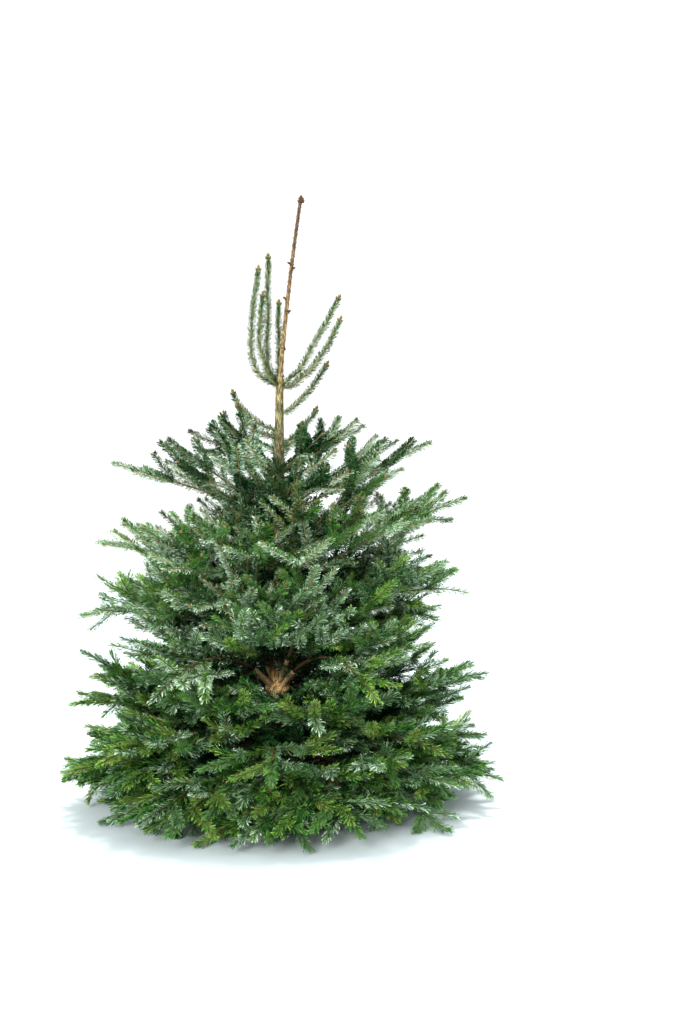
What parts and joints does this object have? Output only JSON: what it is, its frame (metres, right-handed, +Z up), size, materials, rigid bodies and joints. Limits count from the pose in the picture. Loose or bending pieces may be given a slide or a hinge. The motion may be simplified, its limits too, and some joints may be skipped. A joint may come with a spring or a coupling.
{
  "type": "cut fir christmas tree",
  "caption": "Tall cut fir used as a Christmas tree, undecorated, with an upswept leader, layered needle-clad boughs and a plain wooden cross stand.",
  "frame": {"origin": "on the floor, at the middle of the flat underside of the wooden cross, under the trunk", "axes": "+Z up along the trunk, +X to the right as seen from the front, -Y towards the viewer"},
  "size_m": [2.0525, 1.8913, 2.89],
  "materials": {
    "bark": "rough ridged bark",
    "young_bark": "smooth orange-brown young bark and buds",
    "needles": "waxy dark green needles",
    "pale_needles": "waxy silvery blue-green needles",
    "stand_wood": "plain sawn softwood"
  },
  "bodies": {
    "root": {"stand_plank_lower": "stand_wood", "stand_plank_upper": "stand_wood", "trunk": "bark", "leader_shoot_1": "pale_needles", "leader_shoot_2": "pale_needles", "leader_shoot_3": "pale_needles", "leader_shoot_4": "pale_needles", "leader_shoot_5": "pale_needles", "leader_shoot_6": "pale_needles", "trunk_shoot_1": "pale_needles", "trunk_shoot_2": "pale_needles", "trunk_shoot_3": "pale_needles", "trunk_shoot_4": "pale_needles", "needles_w2_1": "pale_needles", "needles_w2_2": "pale_needles", "needles_w2_3": "pale_needles", "needles_w2_4": "pale_needles", "needles_w2_5": "pale_needles", "needles_w3_1": "pale_needles", "needles_w3_2": "pale_needles", "needles_w3_3": "pale_needles", "needles_w3_4": "pale_needles", "needles_w3_5": "pale_needles", "needles_w3_6": "pale_needles", "bough_w4_1": "young_bark", "needles_w4_1": "needles", "bough_w4_2": "young_bark", "needles_w4_2": "needles", "bough_w4_3": "young_bark", "needles_w4_3": "needles", "bough_w4_4": "young_bark", "needles_w4_4": "needles", "bough_w4_5": "young_bark", "needles_w4_5": "needles", "bough_w4_6": "young_bark", "needles_w4_6": "needles", "bough_w5_1": "young_bark", "needles_w5_1": "needles", "bough_w5_2": "young_bark", "needles_w5_2": "needles", "bough_w5_3": "young_bark", "needles_w5_3": "needles", "bough_w5_4": "young_bark", "needles_w5_4": "needles", "bough_w5_5": "young_bark", "needles_w5_5": "needles", "bough_w5_6": "young_bark", "needles_w5_6": "needles", "needles_w6_1": "needles", "needles_w6_2": "needles", "needles_w6_3": "needles", "needles_w6_4": "needles", "needles_w6_5": "needles", "needles_w6_6": "needles", "needles_w7_1": "needles", "needles_w7_2": "needles", "needles_w7_3": "needles", "needles_w7_4": "needles", "needles_w7_5": "needles", "needles_w7_6": "needles"}
  },
  "joints": []
}
